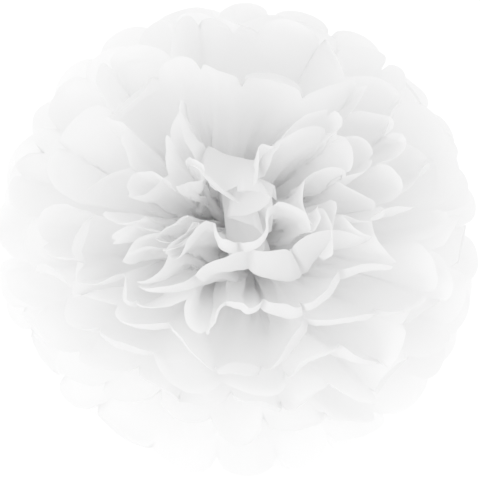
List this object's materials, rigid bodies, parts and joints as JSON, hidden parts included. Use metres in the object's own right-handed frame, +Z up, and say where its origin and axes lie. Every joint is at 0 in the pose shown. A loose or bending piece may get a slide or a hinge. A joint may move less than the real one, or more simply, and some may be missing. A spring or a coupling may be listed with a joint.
{
  "type": "tissue paper pom pom",
  "caption": "Round decorative pom pom of pleated tissue sheets tied at the middle with wire and fanned out to a ball with scalloped petals.",
  "frame": {"origin": "on the table, under the middle of the ball", "axes": "+Z up through the flower heart, square to the flat stack of sheets; Y along the sheets, so the two half-fans of each open to +Y and -Y; X across the pleats, along the seam where the half-fans meet"},
  "size_m": [0.2505, 0.2464, 0.232],
  "materials": {
    "tissue_paper": "thin white tissue, matt, soft folds",
    "tie_wire": "plain galvanised craft wire"
  },
  "bodies": {
    "root": {"tissue_sheet_01": "tissue_paper", "tissue_sheet_02": "tissue_paper", "tissue_sheet_03": "tissue_paper", "tissue_sheet_04": "tissue_paper", "tissue_sheet_05": "tissue_paper", "tissue_sheet_06": "tissue_paper", "tissue_sheet_07": "tissue_paper", "tissue_sheet_08": "tissue_paper", "tissue_sheet_09": "tissue_paper", "tissue_sheet_10": "tissue_paper", "tissue_sheet_11": "tissue_paper", "tissue_sheet_12": "tissue_paper", "tissue_sheet_13": "tissue_paper", "tissue_sheet_14": "tissue_paper", "wire_tie": "tie_wire"}
  },
  "joints": []
}
